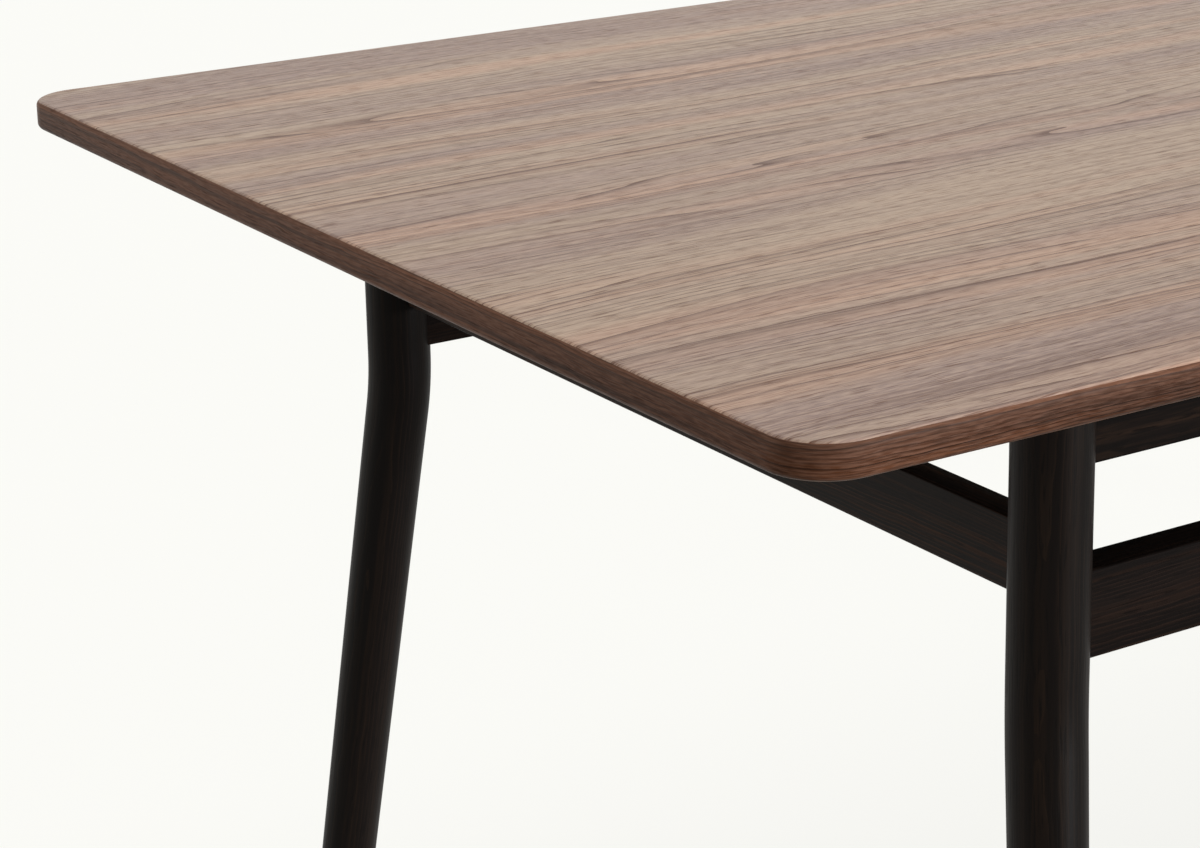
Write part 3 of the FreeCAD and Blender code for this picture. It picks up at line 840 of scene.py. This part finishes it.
# %% [markdown]
# ## The nodes that stay
#
# The aprons, the bearers and the core are exact as they come, with their housings and screw
# holes, so they only get their finish.

# %% Finishes for the kept nodes
def finish_node(node, material):
    """Give every material slot of a node in the frame the same finish."""
    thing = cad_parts[node]
    if not thing.material_slots:
        thing.data.materials.append(material)
    for place in thing.material_slots:
        place.material = material


for node in ("long_apron_front", "long_apron_back"):
    finish_node(node, stained_apron)
for node in ("bearer_left", "bearer_middle", "bearer_right"):
    finish_node(node, stained_bearer)
finish_node("top_core_board", core_chipboard)
print("finished nodes: aprons, bearers and core")

# %% [markdown]
# ## Screws and glides
#
# Both are turned parts: a profile of radius against height, carried round an axis. A screw's
# head also has a cross for the driver, which is pressed in where a point lies near either of
# two crossing lines, so the depth is a formula of the point's place.

# %% Turned pieces
def turned_grid(radii, levels, steps):
    """Rings round Z: point (i, j) lies at radius i in direction j, at level i."""
    turn = np.arange(steps) * 2 * math.pi / steps
    ring = np.stack([np.cos(turn), np.sin(turn)], axis=1)
    flat = radii[:, None, None] * ring[None]
    return np.concatenate([flat, np.broadcast_to(levels[:, None, None], (*flat.shape[:2], 1))],
                          axis=2)


SCREW_RADIUS = 0.00225
SCREW_HEAD = 0.0045
SCREW_LENGTH = 0.035
SCREW_TIP = 0.004
TIP_END = 0.12  # the radius left at the very tip, as a share of the shank's
SCREW_STEPS, FACE_RINGS, SHANK_RINGS, TIP_RINGS = 48, 16, 90, 6
HAIR = 0.0001  # a step too small to see, which keeps a corner sharp
CROSS_REACH = 0.0024
CROSS_HALF = 0.00045
CROSS_DEPTH = 0.0016
THREAD_PITCH = 0.0018
THREAD_START = 0.012
THREAD_RAMP = 0.001
THREAD_DEPTH = 0.16  # as a share of the shank's radius
RIDGE_WAVE = 0.3  # the part of the wave above this is left standing as the ridge


def screw(name, x, y, level):
    """A countersunk screw pointing up, its face at the level, with a driver's cross.

    The cross is deep where the smaller of |x| and |y| is under its half width and the larger
    under its reach. The thread is a ridge whose height follows the sine of turn minus
    climb, which makes one helix round the shank.
    """
    neck = SCREW_HEAD - SCREW_RADIUS
    face = np.linspace(HAIR, SCREW_HEAD, FACE_RINGS)
    cone = np.array([SCREW_RADIUS + HAIR, SCREW_RADIUS])
    shank = np.linspace(neck, SCREW_LENGTH - SCREW_TIP, SHANK_RINGS)[1:]
    tip = np.linspace(1, TIP_END, TIP_RINGS)[1:]
    radii = np.concatenate([face, cone, np.full(len(shank), SCREW_RADIUS), SCREW_RADIUS * tip])
    levels = np.concatenate([np.zeros(len(face)), [neck - HAIR, neck], shank,
                             SCREW_LENGTH - SCREW_TIP + SCREW_TIP * (1 - tip)])
    grid = turned_grid(radii, levels, SCREW_STEPS)[:, ::-1]
    small = np.minimum(np.abs(grid[..., 0]), np.abs(grid[..., 1]))
    large = np.maximum(np.abs(grid[..., 0]), np.abs(grid[..., 1]))
    on_face = np.arange(len(radii))[:, None] < len(face)
    cross = on_face * np.clip((CROSS_HALF - small) / HAIR + 0.5, 0, 1)
    cross = cross * np.clip((CROSS_REACH - large) / CROSS_REACH * 2, 0, 1)
    grid[..., 2] += CROSS_DEPTH * cross
    turn = np.arctan2(grid[..., 1], grid[..., 0])
    wave = np.sin(turn - 2 * math.pi * grid[..., 2] / THREAD_PITCH)
    threaded = np.clip((levels - THREAD_START) / THREAD_RAMP, 0, 1)[:, None]
    pull = 1 - THREAD_DEPTH * threaded * (wave < RIDGE_WAVE)
    grid[..., :2] *= pull[..., None]
    grid = grid + np.array([x, y, level])
    return closed_mesh(name, grid, np.zeros(grid.shape), crease=50)


screw_low, screw_high = (np.array(corner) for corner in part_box("bearer_screws"))
SCREW_X = screw_high[0] - SCREW_HEAD
SCREW_Y = screw_high[1] - SCREW_HEAD
for place, x in (("left", -SCREW_X), ("middle", 0.0), ("right", SCREW_X)):
    for edge_side, y in (("front", -SCREW_Y), ("back", SCREW_Y)):
        settle(screw(f"bearer_screw_{place}_{edge_side}", x, y, screw_low[2]),
               "bearer_screws", screw_zinc)

GLIDE_RADIUS = 0.014
GLIDE_EDGE = 0.001
GLIDE_FLAT = 0.86  # where the flat sole stops and the rim begins, as a share of the radius
GLIDE_STEPS = 64
RIM_STEPS = 6
PIN_RADIUS = 0.0025
PIN_LENGTH = 0.018
PIN_POINT_RADIUS = 0.0008
PIN_POINT = 0.002


def glide(name, side_x, side_y):
    """A glide: a disc with a rounded rim under the foot, and its pin up into the leg.

    The rim's lower part is a quarter circle: radius minus edge times (1 - cos t) outwards,
    and edge times (1 - sin t) up.
    """
    turn = np.linspace(math.pi / 2, 0, RIM_STEPS + 1)
    rim = GLIDE_RADIUS - GLIDE_EDGE * (1 - np.cos(turn))
    rise = GLIDE_EDGE * (1 - np.sin(turn))
    pin_end = FOOT_LEVEL + PIN_LENGTH
    radii = np.concatenate([[GLIDE_RADIUS * GLIDE_FLAT], rim,
                            [GLIDE_RADIUS, PIN_RADIUS, PIN_RADIUS, PIN_POINT_RADIUS]])
    levels = np.concatenate([[0.0], rise,
                             [FOOT_LEVEL, FOOT_LEVEL, pin_end - PIN_POINT, pin_end]])
    lean = lean_of(side_x, side_y)
    reach = BEND_OUT + (BEND_END - FOOT_LEVEL) * math.tan(SPLAY)
    grid = turned_grid(radii, levels, GLIDE_STEPS)
    grid = grid + np.array([side_x * LEG_X + reach * math.cos(lean),
                            side_y * LEG_Y + reach * math.sin(lean), 0.0])
    return closed_mesh(name, grid, np.zeros(grid.shape), crease=40)


for place, side_x, side_y in LEG_PLACES:
    settle(glide(f"foot_glide_{place}", side_x, side_y), "foot_glides",
           glide_plastic)

# %% [markdown]
# ## Floor and light
#
# The table stands in a plain white studio: a pale floor, a wide soft lamp overhead, and a
# backdrop that is bright behind the table and falls away towards the front, where a studio is
# dark. A floor that bounced as much light as it seems to would wash out the dark legs. So the
# camera, and whatever mirrors the room, sees the floor nearly white, while for the light itself
# it is a mid grey. What is seen is mostly a glow, plus a little of the floor's own shading, and
# that little is enough to keep the table's shadow.

# %% Floor
FLOOR_HALF = 40.0
WHITE = (0.973, 0.973, 0.939, 1.0)
FLOOR_GLOW = 0.86
FLOOR_SEEN = srgb(99, 99, 97)
FLOOR_LIT = srgb(145, 145, 143), srgb(139, 139, 137)


def seen_directly(board):
    """1 for rays from the camera, a gloss or a clear body, and 0 for those that carry light."""
    path = board.put("LightPath").outputs
    mirrored = board.math("ADD", path["Is Glossy Ray"], path["Is Transmission Ray"])
    return board.math("ADD", path["Is Camera Ray"], mirrored, clamp=True)


def build_floor():
    """A large level square, nearly white where it is seen and mid grey to other rays."""
    mesh = bpy.data.meshes.new("floor")
    reach = FLOOR_HALF
    mesh.from_pydata([(-reach, -reach, 0), (reach, -reach, 0), (reach, reach, 0),
                      (-reach, reach, 0)], [], [(0, 1, 2, 3)])
    floor = bpy.data.objects.new("floor", mesh)
    bpy.context.scene.collection.objects.link(floor)
    material, board, shader = new_material("floor_paper")
    seen = seen_directly(board)
    fibres = board.noise(room_place(board, 0.0), (300.0,) * 3, detail=3.0)
    paper = board.mix(fibres, *FLOOR_LIT)
    board.wire(board.mix(seen, paper, FLOOR_SEEN), shader.inputs["Base Color"])
    shader.inputs["Roughness"].default_value = 0.9
    shader.inputs["Specular IOR Level"].default_value = 0.0
    board.wire(board.math("MULTIPLY", seen, FLOOR_GLOW), shader.inputs["Emission Strength"])
    shader.inputs["Emission Color"].default_value = WHITE
    mesh.materials.append(material)


build_floor()
print("floor:", 2 * FLOOR_HALF, "m square")

# %% [markdown]
# The room is the world: a light that only depends on the direction it comes from.

# %% Room
BACK = (0.57, 0.82, 0.0)
BACK_LIGHT = 0.80
FRONT_LIGHT = 0.05
TOP_LIGHT = 0.42
ROOM_TINT = (1.0, 0.985, 0.965, 1.0)
FRONT_END, BACK_END = -0.9, 0.5  # the shares of BACK where the front and the back light are full
WALL_END, TOP_END = 0.15, 0.8  # the heights where the walls end and the top light is full


def build_world():
    """White where it is seen, and for light a room that is bright behind and dim in front.

    The direction's share of BACK, from -1 in front to 1 behind, sets the light near the
    horizon, and its height blends that into the light from the top.
    """
    world = bpy.data.worlds.new("studio")
    bpy.context.scene.world = world
    world.use_nodes = True
    board = Board(world.node_tree)
    back = world.node_tree.nodes["Background"]
    direction = board.put("TexCoord").outputs["Generated"]
    behind = board.put("VectorMath", operation="DOT_PRODUCT")
    board.wire(direction, behind.inputs[0])
    board.wire(BACK, behind.inputs[1])
    level = board.range(behind.outputs["Value"], FRONT_END, BACK_END, FRONT_LIGHT, BACK_LIGHT)
    height = board.put("SeparateXYZ")
    board.wire(direction, height.inputs[0])
    high = board.range(height.outputs["Z"], WALL_END, TOP_END)
    light = board.math("ADD", board.math("MULTIPLY", level, board.math("SUBTRACT", 1.0, high)),
                       board.math("MULTIPLY", high, TOP_LIGHT))
    seen = seen_directly(board)
    board.wire(board.mix(seen, ROOM_TINT, WHITE), back.inputs["Color"])
    strength = board.math("ADD", board.math("MULTIPLY", light,
                                            board.math("SUBTRACT", 1.0, seen)), seen)
    board.wire(strength, back.inputs["Strength"])


build_world()
print("room: light", FRONT_LIGHT, "in front,", BACK_LIGHT, "behind and", TOP_LIGHT, "above")

# %% [markdown]
# Three softboxes add to the room, one overhead and one for each side that faces the camera. The
# two at the sides stand far off and low, so they pass over the floor without a bright patch, and
# the top hardly mirrors them. All three are sun lamps: a sun lamp's width makes it as soft as a
# softbox.

# %% Lamps
LAMPS = (
    # name, the way to it, its width in degrees, strength, tint
    ("overhead_softbox", (0.42, 0.12, 0.90), 64, 1.81, (1.0, 0.99, 0.97)),
    ("right_softbox", (0.43, -0.90, 0.06), 12, 4.3, (0.98, 0.985, 1.0)),
    ("left_softbox", (-0.90, 0.44, 0.06), 12, 0.80, (1.0, 0.92, 0.83)))


def turned_to(direction):
    """The rotation that points a lamp, which shines down its own -Z, along a direction."""
    x, y, z = direction
    return (math.atan2(math.hypot(x, y), -z), 0.0, math.atan2(y, x) - math.pi / 2)


def far_lamp(name, toward, width, strength, tint):
    """A lamp so far away that it lights every place alike. toward points from table to lamp."""
    lamp = bpy.data.lights.new(name, "SUN")
    lamp.angle = math.radians(width)
    lamp.energy = strength
    lamp.color = tint
    holder = bpy.data.objects.new(name, lamp)
    bpy.context.scene.collection.objects.link(holder)
    holder.rotation_euler = turned_to([-part for part in toward])


for lamp in LAMPS:
    far_lamp(*lamp)
print("lamps:", [name for name, *_ in LAMPS])

# %% [markdown]
# ## The camera
#
# The camera stands off the front left corner, above the top, and looks along the table through a
# long lens. The lens is shifted, so the picture's middle isn't where the camera points.

# %% Camera
CAMERA_PLACE = (-1.7805, -1.5637, 1.2122)
CAMERA_YAW = math.radians(33.948)
CAMERA_PITCH = math.radians(16.261)
CAMERA_ROLL = math.radians(0.537)
CAMERA_LENS = 92.50
CAMERA_SHIFT = (-0.10, -0.10)


def build_camera():
    """A camera that starts level along +Y, turns right, dips, and tips by its roll."""
    camera = bpy.data.objects.new("camera", bpy.data.cameras.new("camera"))
    bpy.context.scene.collection.objects.link(camera)
    aim = (Matrix.Rotation(-CAMERA_YAW, 3, "Z")
           @ Matrix.Rotation(math.pi / 2 - CAMERA_PITCH, 3, "X")
           @ Matrix.Rotation(-CAMERA_ROLL, 3, "Z"))
    camera.rotation_euler = aim.to_euler()
    camera.location = CAMERA_PLACE
    camera.data.lens = CAMERA_LENS
    camera.data.shift_x, camera.data.shift_y = CAMERA_SHIFT
    bpy.context.scene.camera = camera


build_camera()
bpy.context.scene.view_settings.view_transform = "Standard"
print("camera at", CAMERA_PLACE)
